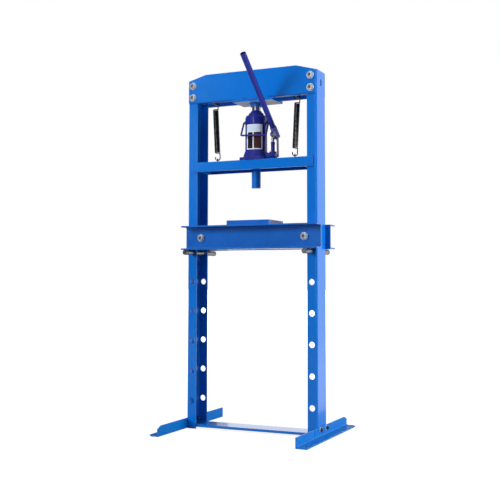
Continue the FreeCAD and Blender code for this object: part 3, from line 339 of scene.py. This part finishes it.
def hex_head(form, place, flats, height):
    """A bolt's head: chamfered round, with a washer face below, and the dish on top in the second finish."""
    radii, crown = hexagon(flats), CROWN * flats
    slope = [height - (r - crown) * CHAMFER for r in radii]
    dish = [(0.62 * crown, 0.0), (0.56 * crown, 0.05), (0.2 * crown, 0.07)]
    made_before = len(form.faces)
    skin_loops(form, [loop_at(place, [crown] * HEX_POINTS, 0.0), loop_at(place, radii, 0.02 * height),
                      loop_at(place, radii, slope), loop_at(place, [crown] * HEX_POINTS, height)]
               + [loop_at(place, [r] * HEX_POINTS, height * (1 - drop)) for r, drop in dish])
    form.faces.ensure_lookup_table()
    for face in form.faces[made_before:]:
        spots = [place.inverted() @ vert.co for vert in face.verts]
        if all(spot.z > 0.9 * height and math.hypot(spot.x, spot.y) < 0.63 * crown for spot in spots):
            face.material_index = 1


def hex_nut(form, place, flats, height, bore):
    """A nut, chamfered on both faces, with a countersunk bore."""
    radii, crown = hexagon(flats), CROWN * flats
    fall = [(r - crown) * CHAMFER for r in radii]
    outline = [([bore] * HEX_POINTS, 0.0), ([crown] * HEX_POINTS, 0.0), (radii, fall),
               (radii, [height - f for f in fall]), ([crown] * HEX_POINTS, height),
               ([1.08 * bore] * HEX_POINTS, height), ([bore] * HEX_POINTS, height - 0.08 * bore)]
    skin_loops(form, [loop_at(place, spread, z) for spread, z in outline], ring=True)


def thread(form, place, radius, length, pitch, count=24):
    """A helical thread, run out to a chamfer at its far end."""
    steps = max(2, round(length / pitch * 6))
    loops = []
    for k in range(steps + 1):
        z = length * k / steps
        depth = [0.61 * pitch * abs(2 * ((z / pitch - i / count) % 1) - 1) for i in range(count)]
        worn = max(0.0, 1 - (length - z) / (0.6 * pitch)) * 0.5 * pitch
        loops.append(loop_at(place, [min(radius - d, radius - worn) for d in depth], z))
    skin_loops(form, loops)


def washer(form, place, outer, bore, height):
    """A punched washer, with its edges broken."""
    edge = 0.18 * height
    outline = [(bore, 0), (outer - edge, 0), (outer, edge), (outer, height - edge), (outer - edge, height),
               (bore + edge, height), (bore, height - edge)]
    lathe(form, place, outline, count=40, ring=True)


def lumps(name):
    """The lowest and highest corners of each separate solid in a CAD node."""
    form = bmesh.new()
    form.from_mesh(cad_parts[name].data)
    bmesh.ops.remove_doubles(form, verts=form.verts, dist=1e-5)
    left, found = set(form.verts), []
    while left:
        stack, points = [left.pop()], []
        while stack:
            vert = stack.pop()
            points.append(vert.co.copy())
            near = [edge.other_vert(vert) for edge in vert.link_edges]
            stack += [v for v in near if v in left]
            left.difference_update(near)
        found.append((Vector([min(p[k] for p in points) for k in range(3)]),
                      Vector([max(p[k] for p in points) for k in range(3)])))
    form.free()
    return sorted(found, key=lambda box: tuple(round(v, 4) for v in box[0]))


def ends(box, axis, turn):
    """A box's two ends along X (0) or Y (1), as places whose own Z points outward, turned round it, and the
    length between them."""
    low, high = box
    middle = (low + high) / 2
    places = []
    for way, face in ((-1, low), (1, high)):
        spot = middle.copy()
        spot[axis] = face[axis]
        outward = Vector([way if k == axis else 0 for k in range(3)])
        places.append(Matrix.Translation(spot) @ outward.to_track_quat("Z", "Y").to_matrix().to_4x4()
                      @ Matrix.Rotation(turn, 4, "Z"))
    return places[0], places[1], (places[0].translation - places[1].translation).length


def back(place, way):
    """A place moved back along its own Z."""
    return place @ Matrix.Translation((0, 0, -way))


M12 = {"flats": 0.019, "head": 0.008, "shank": 0.006, "pitch": 0.00175, "wide": 0.026}


def fixings(label, body, threaded, head_last, flats, head, shank, pitch, wide, axis=1, turn=0.0,
            finish=ZINC):
    """A group's bolts, nuts and washers in place of its CAD ones. head_last says which end of a bolt has
    its head."""
    def bolts(form):
        for box in lumps(f"{label}_bolts"):
            first, last, long = ends(box, axis, turn)
            seat = back(last if head_last(box) else first, head)
            hex_head(form, seat, flats, head)
            under = seat @ Matrix.Rotation(math.pi, 4, "X")
            plain = long - head - threaded
            lathe(form, under, [(shank, 0), (shank, plain)])
            thread(form, back(under, -plain), shank, threaded, pitch)

    def nuts(form):
        for box in lumps(f"{label}_nuts"):
            first, last, thick = ends(box, axis, turn)
            hex_nut(form, back(last, thick), flats, thick, 0.93 * shank)

    def washers(form):
        for box in lumps(f"{label}_washers"):
            first, last, thick = ends(box, axis, turn)
            washer(form, back(last, thick), wide / 2, 1.03 * shank, thick)

    for kind, fill, finishes in (("bolts", bolts, (finish, DULL_DISH)), ("nuts", nuts, (finish,)),
                                 ("washers", washers, (BRIGHT_ZINC,))):
        detail = piece(f"{label}_{kind}_detail", finishes[0], body, fill, others=finishes[1:])
        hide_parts(f"{label}_{kind}")


fixings("crossbeam", "frame", threaded=0.014, head_last=lambda box: box[1].y > 0.05, **M12)

# ---------------------------------------------------------------- jack seat welds
# The seat plate is welded under both crossbeams, and its collar is welded on all round, before painting.
# Each bead is laid by hand, in overlapping ripples.


def round_line(middle, radius, count=48):
    """Points on a level circle."""
    turns = [math.tau * i / count for i in range(count)]
    return [middle + Vector((radius * math.cos(a), radius * math.sin(a), 0)) for a in turns]


def sweep(form, points, radii, count=10, ring=False):
    """A round section led along points, with its radius at each."""
    turns = [math.tau * k / count for k in range(count)]
    loops, side = [], None
    for i, point in enumerate(points):
        before = points[i - 1] if i or ring else point
        after = points[(i + 1) % len(points)] if i + 1 < len(points) or ring else point
        way = (after - before).normalized()
        side = side or way.orthogonal()
        side = (side - way * side.dot(way)).normalized()
        up = way.cross(side)
        loops.append([point + (side * math.cos(a) + up * math.sin(a)) * radii[i] for a in turns])
    skin_loops(form, loops, ring=ring)


def bead(form, points, radius, ripple=0.003, ring=False):
    """A weld bead along points: they are spaced anew, then swelled once for each ripple."""
    corners = points + points[:1] if ring else points
    path = []
    for a, b in zip(corners, corners[1:]):
        steps = max(1, round((b - a).length / (ripple / 4)))
        path += [a.lerp(b, k / steps) for k in range(steps)]
    path += [] if ring else [corners[-1]]
    swell = [0.82 + 0.22 * abs(math.sin(math.pi * k / 4)) + 0.08 * math.sin(0.37 * k)
             for k in range(len(path))]
    radii = [radius * share for share in swell]
    if not ring:
        radii[0] = radii[-1] = 0.3 * radius
    sweep(form, path, radii, count=8, ring=ring)


SEAT_BEAD_LENGTH, SEAT_BEAD, RING_BEAD = 0.036, 0.0026, 0.003


def seat_welds(form):
    """Three beads along each side of the plate, and one round the collar, under the plate."""
    low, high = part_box("jack_seat_plate")
    for side in (low[1], high[1]):
        for share in (0.05, 0.38, 0.71):
            start = Vector((low[0] + (high[0] - low[0]) * share, side, high[2]))
            bead(form, [start, start + Vector((SEAT_BEAD_LENGTH, 0, 0))], SEAT_BEAD)
    inner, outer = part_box("jack_seat_collar")
    middle = Vector(((inner[0] + outer[0]) / 2, 0, low[2]))
    bead(form, round_line(middle, (outer[0] - inner[0]) / 2), RING_BEAD, ring=True)


piece("jack_seat_welds", FRAME_BLUE, "frame", seat_welds)

# ---------------------------------------------------------------- feet and brace
# Two lengths of steel angle, bolted outside the uprights, and a folded brace between them near the floor.
# The angle is duller under its paint than the folded sheet. The M8 bolts have dark zinc.

# The paler edge colours of the feet and brace paint wear and a painted highlight along their edges.
dress(painted("foot_blue", (0.0008, 0.160, 0.56, 1.0), (0.36, 0.60, 0.95, 1.0), 0.3, clouds=0.4, edge_strength=1.0,
              radius=0.002, Specular_IOR_Level=0.2), "left_foot", "right_foot")
dress(painted("brace_blue", (0.003, 0.165, 0.62, 1.0), (0.30, 0.50, 0.95, 1.0), 0.15, Coat_Weight=0.5,
              Coat_Roughness=0.05), "base_brace")
DARK_ZINC = plated("dark_zinc_plate", (0.20, 0.21, 0.24, 1.0), 0.25, tarnish=0.6, metallic=0.9)
M8 = {"flats": 0.013, "head": 0.0055, "shank": 0.004, "pitch": 0.00125, "wide": 0.017}
fixings("foot", "frame", threaded=0.013, head_last=lambda box: box[0].x < 0, axis=0, turn=math.radians(30),
        finish=DARK_ZINC, **M8)

# ---------------------------------------------------------------- press head
# A channel that hugs the uprights, with end plates and the pin's sleeve welded on before painting.
# The spring eyes are bent from black wire, like the hangers under the crossbeams.

dress(FRAME_BLUE, "head_beam", "left_head_end_plate", "right_head_end_plate", "ram_pin", "ram_pin_sleeve")
BLACK_WIRE = plated("black_wire", (0.022, 0.022, 0.025, 1.0), 0.36, tarnish=0.3, metallic=0.5)
dress(BLACK_WIRE, "left_spring_eye", "right_spring_eye", "left_spring_hanger", "right_spring_hanger")
END_BEAD, END_BEAD_INSET = 0.0022, 0.003


def head_welds(form):
    """A bead round the sleeve's top, and one up both upright edges of each end plate."""
    low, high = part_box("ram_pin_sleeve")
    middle = Vector(((low[0] + high[0]) / 2, 0, high[2]))
    bead(form, round_line(middle, (high[0] - low[0]) / 2), RING_BEAD, ring=True)
    for name in ("left_head_end_plate", "right_head_end_plate"):
        low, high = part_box(name)
        outside = low[0] if high[0] < 0 else high[0]
        heights = (low[2] + END_BEAD_INSET, high[2] - END_BEAD_INSET)
        for side in (low[1], high[1]):
            bead(form, [Vector((outside, side, z)) for z in heights], END_BEAD)


piece("press_head_welds", FRAME_BLUE, "press_head", head_welds)

# ---------------------------------------------------------------- bottle jack
# A cast foot with rough faces, a drawn oil tank over the cylinder, a turned cap nut and a chromed ram.
# The castings and the tank are dipped in one dark gloss blue.

# The lavender edge colours of the jack's paints are wear and a painted highlight along the edges.
JACK_BLUE = painted("jack_blue", (0.012, 0.020, 0.25, 1.0), (0.22, 0.20, 0.62, 1.0), 0.2, clouds=0.35,
                    edge_strength=0.7, Coat_Weight=0.7, Coat_Roughness=0.07)
CAST_BLUE = painted("cast_blue", (0.018, 0.026, 0.25, 1.0), (0.30, 0.22, 0.60, 1.0), 0.3, clouds=0.6,
                    edge_strength=0.9, skin=0.03, radius=0.0016, grain=110.0, Coat_Weight=0.4, Coat_Roughness=0.12)
CHROME = plated("chrome", (0.82, 0.83, 0.85, 1.0), 0.08, stained=(0.35, 0.27, 0.22, 1.0), tarnish=0.08)
STEEL = plated("bare_steel", (0.42, 0.42, 0.43, 1.0), 0.3)
RUBBER = plated("seal_rubber", (0.015, 0.015, 0.015, 1.0), 0.7, metallic=0.0)
dress(JACK_BLUE, "jack_tank", "jack_cap_nut", "pump_barrel", "bail_bosses")
dress(CAST_BLUE, "jack_base")
dress(CHROME, "jack_ram")
dress(STEEL, "jack_cylinder", "extension_screw")
dress(RUBBER, "piston_seal")

# ---------------------------------------------------------------- panel on the tank
# A printed sheet, stuck round the front of the oil tank: a plain pale field over two dark ones, in a
# white border. It carries no words or pictures.


def panel_finish(name, color, roughness):
    """A printed colour, darker where its edge is scuffed."""
    scuffed = tuple(0.6 * c for c in color[:3]) + (1.0,)
    return painted(name, color, scuffed, roughness, clouds=0.3, skin=0.00002)


PANEL_COLORS = (panel_finish("panel_pale", (0.56, 0.70, 0.82, 1.0), 0.3),
                panel_finish("panel_white", (0.78, 0.80, 0.92, 1.0), 0.3),
                panel_finish("panel_dark", (0.010, 0.011, 0.02, 1.0), 0.25),
                panel_finish("panel_brown", (0.060, 0.022, 0.028, 1.0), 0.25))
PALE, WHITE, DARK, BROWN = range(4)
TANK_MIDDLE, PANEL_RADIUS, PANEL_SHEET = Vector((0.0025, 0, 0)), 0.03915, 0.00012
PANEL_HEIGHTS = (0.9865, 0.9905, 1.0480, 1.0515, 1.0735, 1.0760)
PANEL_TURNS = (-33, -24, 6, 11.5, 52, 59)
PANEL_ROWS = ((WHITE,) * 5, (WHITE, DARK, WHITE, BROWN, WHITE), (WHITE,) * 5, (PALE,) * 5, (WHITE,) * 5)


def tank_panel(form):
    """Patches between heights in metres and turns in degrees from the front, each with its own finish."""
    for bottom, top, row in zip(PANEL_HEIGHTS, PANEL_HEIGHTS[1:], PANEL_ROWS):
        for start, end, finish in zip(PANEL_TURNS, PANEL_TURNS[1:], row):
            steps = max(2, round((end - start) / 4))
            turns = [math.radians(start + (end - start) * k / steps) for k in range(steps + 1)]
            edge = [TANK_MIDDLE + PANEL_RADIUS * Vector((math.sin(t), -math.cos(t), 0)) for t in turns]
            for a, b in zip(edge, edge[1:]):
                corners = [p + Vector((0, 0, z)) for p, z in ((a, bottom), (b, bottom), (b, top), (a, top))]
                form.faces.new([form.verts.new(p) for p in corners]).material_index = finish
    bmesh.ops.remove_doubles(form, verts=form.verts, dist=1e-6)
    bmesh.ops.solidify(form, geom=form.faces[:], thickness=PANEL_SHEET)


piece("tank_panel", PANEL_COLORS[0], "press_head", tank_panel, others=PANEL_COLORS[1:])

# ---------------------------------------------------------------- pump and handle
# The pump's plunger, its two links and pins, the pressed socket, and the two tubes of the handle.
# The upper tube is open at its top, and its bore is bare steel painted near black: painted shade inside it.

# The lavender edge colours of the handle and socket are wear and a painted highlight.
HANDLE_BLUE = painted("handle_blue", (0.015, 0.026, 0.31, 1.0), (0.32, 0.32, 0.62, 1.0), 0.22, clouds=0.3,
                      edge_strength=0.6, Coat_Weight=0.5, Coat_Roughness=0.08)
SOCKET_BLUE = painted("socket_blue", (0.19, 0.19, 0.52, 1.0), (0.40, 0.38, 0.70, 1.0), 0.3, clouds=0.6,
                      edge_strength=0.9, skin=0.0003, Coat_Weight=0.4, Coat_Roughness=0.1)
# The bore's near-black finish is painted shade inside the open tube.
TUBE_BORE_SHADE = plated("tube_bore_shade", (0.006, 0.005, 0.006, 1.0), 0.6, metallic=0.2)
dress(CHROME, "pump_plunger")
dress(STEEL, "fulcrum_pin", "link_pin", "plunger_pin")
dress(SOCKET_BLUE, "pump_links", "handle_socket")
dress(HANDLE_BLUE, "handle_lower")
HANDLE_TURN, HANDLE_TILT = math.radians(5), math.radians(43.5)
TUBE_LENGTH, TUBE_OUTER, TUBE_BORE, TUBE_EDGE = 0.123, 0.0103, 0.0083, 0.0005


def upper_tube(form):
    """The tube on its slope, with its cut ends rounded. The bore has the second finish, near black as
    painted shade.
    """
    low, high = (Vector(corner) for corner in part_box("handle_upper"))
    lean = Vector((-math.sin(HANDLE_TURN), -math.cos(HANDLE_TURN), 0)) * math.sin(HANDLE_TILT)
    way = lean + Vector((0, 0, math.cos(HANDLE_TILT)))
    place = Matrix.Translation((low + high) / 2) @ way.to_track_quat("Z", "Y").to_matrix().to_4x4()
    half, outer, bore, edge = TUBE_LENGTH / 2, TUBE_OUTER, TUBE_BORE, TUBE_EDGE
    outline = [(bore, -half), (outer - edge, -half), (outer, -half + edge), (outer, half - edge),
               (outer - edge, half), (bore + edge, half), (bore, half - edge)]
    lathe(form, place, outline, count=48, ring=True)
    for face in form.faces:
        spots = [place.inverted() @ vert.co for vert in face.verts]
        if all(math.hypot(spot.x, spot.y) < bore + 0.6 * edge for spot in spots):
            face.material_index = 1


tube = piece("handle_upper_tube", HANDLE_BLUE, "pump_lever", upper_tube, others=(TUBE_BORE_SHADE,))
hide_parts("handle_upper")

# ---------------------------------------------------------------- release valve and bail
# A slotted needle valve low in the cast foot, and a carrying bail bent from round wire.
# Both have the jack's blue, a little deeper.

# The lavender edge colour is wear and a painted highlight along the wire.
BAIL_BLUE = painted("bail_blue", (0.024, 0.024, 0.24, 1.0), (0.25, 0.22, 0.60, 1.0), 0.16, Coat_Weight=0.8,
                    Coat_Roughness=0.06)
dress(BAIL_BLUE, "jack_bail", "release_valve")

# ---------------------------------------------------------------- return springs
# Two extension springs, close wound from black wire, with a hook at each end: the top one is over its
# hanger, and the low one is through its eye.

SPRING_RADIUS, SPRING_WIRE, SPRING_TURNS, SPRING_NECK = 0.0086, 0.0038, 36, 0.010
HOOK_SWEEP, HOOK_TURN = math.radians(210), math.radians(24)
LOW_HOOK, TOP_HOOK = (0.152, 0.9684), (0.162, 1.1651)


def spring_path(low, high):
    """Points along the wire: a hook, a neck, the coil, a neck and a hook, between the two hooks' middles."""
    line = high - low
    radius, start = SPRING_RADIUS, SPRING_RADIUS + SPRING_NECK
    pitch = (line.length - 2 * start) / SPRING_TURNS
    hook = [Vector((radius * math.cos(a), 0, -radius * math.sin(a)))
            for a in (HOOK_SWEEP * (1 - k / 16) for k in range(16))]
    rise = [Vector((0, radius * 0.55 * (t ** 3 - t ** 2), start * t)) for t in (k / 8 for k in range(8))]
    low_half = hook + [Vector((radius, 0, 0)) + p for p in rise]
    coil = [Vector((radius * math.cos(a), radius * math.sin(a), start + pitch * a / math.tau))
            for a in (math.tau * k / 24 for k in range(24 * SPRING_TURNS + 1))]
    top_half = [Vector((p.x, -p.y, line.length - p.z)) for p in reversed(low_half)]
    place = (Matrix.Translation(low) @ Vector((0, 0, 1)).rotation_difference(line).to_matrix().to_4x4()
             @ Matrix.Rotation(HOOK_TURN, 4, "Z"))
    return [place @ p for p in low_half + coil + top_half]


for label, side in (("left", -1), ("right", 1)):
    path = spring_path(*(Vector((side * across, 0, height)) for across, height in (LOW_HOOK, TOP_HOOK)))
    spring = piece(f"{label}_spring_coil", BLACK_WIRE, None,
                   lambda form: sweep(form, path, [SPRING_WIRE / 2] * len(path)))
    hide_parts(f"{label}_return_spring")
    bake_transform(spring)

# ---------------------------------------------------------------- bed
# Two rolled channels tied by M12 bolts through spacers, with a thick loose plate across them. They have
# a duller blue than the frame, and the bed stands on two bare steel pins.

# The paler edge colour of the bed is wear and painted highlight lines along the flanges.
BED_BLUE = painted("bed_blue", (0.010, 0.140, 0.55, 1.0), (0.36, 0.52, 0.90, 1.0), 0.22, clouds=0.5,
                   edge_strength=0.6, Coat_Weight=0.3, Coat_Roughness=0.08)
dress(BED_BLUE, "front_bed_channel", "rear_bed_channel", "bed_spacers", "press_plate")
fixings("bed", "bed", threaded=0.018, head_last=lambda box: False, **M12)
dress(STEEL, "left_bed_pin", "right_bed_pin")

# ---------------------------------------------------------------- studio
# A pale floor in a white surround, one large soft lamp at the left front with weaker ones round about,
# pale cards for the gloss paint to mirror, and the camera of the photograph.

FLOOR_REACH, FLOOR_DROP = 30, 0.0006
WHITE_LIGHT = (1.0, 1.0, 1.0, 1.0)

floor_mesh = bpy.data.meshes.new("floor")
corners = [(x * FLOOR_REACH, y * FLOOR_REACH, -FLOOR_DROP) for x, y in ((-1, -1), (1, -1), (1, 1), (-1, 1))]
floor_mesh.from_pydata(corners, [], [(0, 1, 2, 3)])
floor = bpy.data.objects.new("floor", floor_mesh)
bpy.context.collection.objects.link(floor)
pale, tree, surface = material("pale_floor", Base_Color=(0.22, 0.22, 0.22, 1.0), Roughness=0.95)
ray = put(tree, "ShaderNodeLightPath").outputs
spot = put(tree, "ShaderNodeTexCoord").outputs["Object"]
far = put(tree, "ShaderNodeVectorMath", {0: spot}, operation="LENGTH").outputs["Value"]
level = sums(tree, "ADD", 0.88, above(tree, far, 0.5, 0.15, clamp=True))
seen = sums(tree, "MULTIPLY", ray["Is Camera Ray"], level)
mirrored = sums(tree, "MULTIPLY", ray["Is Glossy Ray"], 0.06)
glow = put(tree, "ShaderNodeEmission", {"Color": WHITE_LIGHT, "Strength": sums(tree, "ADD", seen, mirrored)})
both = put(tree, "ShaderNodeAddShader", {0: tree.nodes["Principled BSDF"].outputs[0], 1: glow.outputs[0]})
tree.links.new(both.outputs[0], tree.nodes["Material Output"].inputs["Surface"])
floor_mesh.materials.append(pale)

world = bpy.data.worlds.new("studio")
bpy.context.scene.world = world
world.use_nodes = True
sky = world.node_tree
ray = put(sky, "ShaderNodeLightPath").outputs
shiny = sums(sky, "ADD", ray["Is Glossy Ray"], ray["Is Transmission Ray"], clamp=True)
matt = sums(sky, "SUBTRACT", 1.0, sums(sky, "ADD", ray["Is Camera Ray"], shiny, clamp=True))
level = sums(sky, "ADD", sums(sky, "MULTIPLY", shiny, 0.08), sums(sky, "MULTIPLY", matt, 0.15))
backdrop = sky.nodes["Background"].inputs
backdrop["Color"].default_value = WHITE_LIGHT
sky.links.new(sums(sky, "ADD", ray["Is Camera Ray"], level, clamp=True), backdrop["Strength"])


def softbox(name, place, target, width, height, glow, diffuse=True, glossy=True):
    """A soft lamp of even glow, which may light only matt or only glossy surfaces."""
    lamp = bpy.data.lights.new(name, "AREA")
    lamp.shape, lamp.size, lamp.size_y = "RECTANGLE", width, height
    lamp.energy = glow * math.pi * width * height
    item = bpy.data.objects.new(name, lamp)
    item.location = place
    item.rotation_euler = (Vector(target) - Vector(place)).to_track_quat("-Z", "Y").to_euler()
    item.visible_camera, item.visible_diffuse, item.visible_glossy = False, diffuse, glossy
    bpy.context.collection.objects.link(item)


softbox("key_lamp", (-2.9, -3.9, 2.1), (0, 0, 0.6), 1.3, 2.0, 25, glossy=False)
softbox("top_lamp", (0.2, -1.0, 3.4), (0, -0.1, 0), 1.4, 1.4, 4.5, glossy=False)
softbox("fill_lamp", (3.2, -0.1, 0.9), (0.25, 0, 0.6), 0.7, 2.6, 20, glossy=False)
softbox("low_fill", (2.6, 2.0, 0.2), (-0.25, 0, 0.3), 1.6, 0.8, 8, glossy=False)
softbox("back_lamp", (-0.8, 4.6, 2.0), (0, 0, 0.6), 1.6, 2.0, 9, glossy=False)
softbox("side_card", (1.15, 2.0, 1.0), (0.25, 0, 0.7), 0.9, 3.0, 0.85, diffuse=False)
softbox("side_floor_card", (0.95, 1.3, 0.002), (0.95, 1.3, 5.0), 1.0, 1.8, 0.85, diffuse=False)
softbox("low_card", (-0.57, 1.6, 0.35), (-0.57, 0, 0.3), 0.7, 0.7, 1.1, diffuse=False)
softbox("low_card_edge", (-0.955, 1.6, 0.35), (-0.955, 0, 0.3), 0.07, 0.7, 0.5, diffuse=False)
softbox("strip_lamp", (-0.35, -3.3, 1.5), (0, 0, 1.0), 0.3, 2.6, 4.0, diffuse=False)
softbox("left_strip", (-2.9, 0.75, 1.1), (0, 0, 1.0), 0.35, 1.8, 5.0, diffuse=False)
softbox("right_strip", (2.4, 1.7, 1.1), (0, 0, 1.0), 0.1, 1.8, 2.0, diffuse=False)
softbox("floor_card", (-2.6, 6.4, 0.002), (-2.6, 6.4, 5.0), 9.0, 7.0, 0.06, diffuse=False)

camera = bpy.data.cameras.new("camera")
camera.lens, camera.sensor_width = 63.52, 36
camera.shift_x, camera.shift_y = -0.0401, -0.0689
viewer = bpy.data.objects.new("camera", camera)
viewer.location = (1.3300, -2.8290, 0.5392)
viewer.rotation_euler = (math.radians(93.943), 0, math.radians(24.234))
bpy.context.collection.objects.link(viewer)
bpy.context.scene.camera = viewer
bpy.context.scene.view_settings.view_transform = "Standard"
